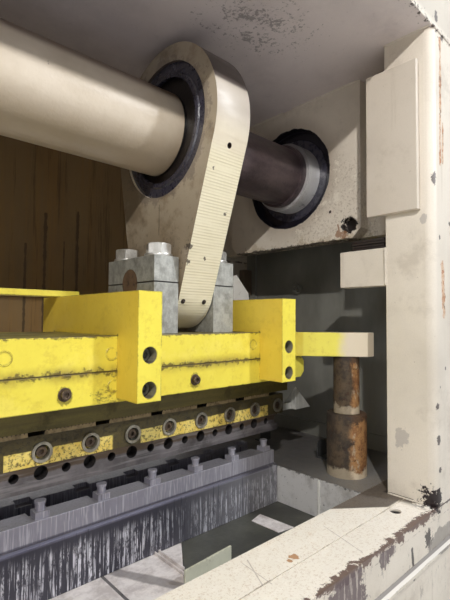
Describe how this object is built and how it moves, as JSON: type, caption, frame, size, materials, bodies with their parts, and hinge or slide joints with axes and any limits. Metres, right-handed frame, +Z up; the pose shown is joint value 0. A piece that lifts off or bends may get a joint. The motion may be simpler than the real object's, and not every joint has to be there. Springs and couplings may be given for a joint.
{
  "type": "mechanical stamping press",
  "caption": "Wide straight-side stamping press with an eccentric shaft, two connecting rods, a guided yellow ram, comb tooling and a lower die in an open bed.",
  "frame": {"origin": "on the floor, midway between the side frames and below the main shaft", "axes": "+X along the main shaft towards the brake side, +Y from the front window to the back, +Z up"},
  "size_m": [3.36, 1.364, 3.199],
  "materials": {
    "frame_paint": "satin, worn and stained",
    "grey_paint": "satin",
    "brown_panel": "matt, dirty",
    "shaft_paint": "gloss, orange-peel, stained",
    "ram_paint": "satin, dusty",
    "block_steel": "milled, mottled",
    "die_steel": "ground, scratched",
    "dark_steel": "oily, stained",
    "rusty_steel": "light rust",
    "cast_iron": "rough, painted",
    "bronze": "satin",
    "greasy_ring": "wet with grease",
    "belt_rubber": "matt",
    "motor_paint": "satin"
  },
  "bodies": {
    "frame": {"bed_front_beam": "frame_paint", "bed_rear_beam": "frame_paint", "bed_end_left": "frame_paint", "bed_end_right": "frame_paint", "sill_plates": "frame_paint", "bed_trays": "grey_paint", "die_bearers": "dark_steel", "machine_feet": "cast_iron", "column_front_left": "frame_paint", "column_front_right": "frame_paint", "column_rear_left": "frame_paint", "column_rear_right": "frame_paint", "jamb_pads": "frame_paint", "stop_blocks": "frame_paint", "side_plate_left": "frame_paint", "side_plate_right": "frame_paint", "boss_plate_left": "frame_paint", "boss_plate_right": "frame_paint", "side_cover_left": "grey_paint", "side_cover_right": "grey_paint", "crown": "frame_paint", "lifting_lugs": "frame_paint", "rear_cover": "brown_panel", "main_bushes": "bronze", "guide_sleeves": "rusty_steel", "die_block": "die_steel", "die_rails": "die_steel", "die_posts": "die_steel", "motor_base": "grey_paint", "motor": "motor_paint", "drive_belt": "belt_rubber", "brake_housing": "grey_paint"},
    "crankshaft": {"eccentric_shaft": "shaft_paint", "brake_disc": "cast_iron"},
    "flywheel": {"flywheel": "cast_iron"},
    "motor_pulley": {"motor_pulley": "cast_iron"},
    "rod_left": {"rod_left": "shaft_paint", "rod_bush_left": "bronze", "seal_rings_left": "greasy_ring"},
    "rod_right": {"rod_right": "shaft_paint", "rod_bush_right": "bronze", "seal_rings_right": "greasy_ring"},
    "ram": {"ram_upper_bar": "ram_paint", "ram_lower_bar": "ram_paint", "yokes": "ram_paint", "yoke_screws": "block_steel", "tie_bar": "ram_paint", "block_bases": "block_steel", "block_caps": "block_steel", "cap_bolts": "block_steel", "wrist_pins": "rusty_steel", "guide_arms": "ram_paint", "guide_posts": "rusty_steel", "tool_shoe": "dark_steel", "rack_segments": "dark_steel", "tool_holder": "ram_paint", "holder_rings": "block_steel", "holder_screws": "dark_steel", "punch_strip": "die_steel", "end_gussets": "block_steel"}
  },
  "joints": [
    {"name": "shaft_turn", "type": "hinge", "parent": "frame", "child": "crankshaft", "pos_m": [0, 0, 2.069], "axis": [1, 0, 0], "range_deg": [0, 90]},
    {"name": "ram_stroke", "type": "slide", "parent": "frame", "child": "ram", "axis": [0, 0, 1], "range_m": [-0.0281, 0]},
    {"name": "rod_left_swing", "type": "hinge", "parent": "crankshaft", "child": "rod_left", "pos_m": [-0.6, -0.028, 2.069], "axis": [1, 0, 0], "range_deg": [-93.5, 0]},
    {"name": "rod_right_swing", "type": "hinge", "parent": "crankshaft", "child": "rod_right", "pos_m": [0.6, -0.028, 2.069], "axis": [1, 0, 0], "range_deg": [-93.5, 0]},
    {"name": "flywheel_spin", "type": "hinge", "parent": "frame", "child": "flywheel", "pos_m": [-1.581, 0, 2.069], "axis": [1, 0, 0], "continuous": true},
    {"name": "pulley_spin", "type": "hinge", "parent": "frame", "child": "motor_pulley", "pos_m": [-1.581, 0, 3.035], "axis": [1, 0, 0], "continuous": true}
  ],
  "couplings": [
    {"joint": "ram_stroke", "follows": "shaft_turn", "m_per_rad": -0.017825},
    {"joint": "rod_left_swing", "follows": "shaft_turn", "ratio": -1.0379},
    {"joint": "rod_right_swing", "follows": "shaft_turn", "ratio": -1.0379},
    {"joint": "pulley_spin", "follows": "flywheel_spin", "ratio": 5.2222}
  ]
}
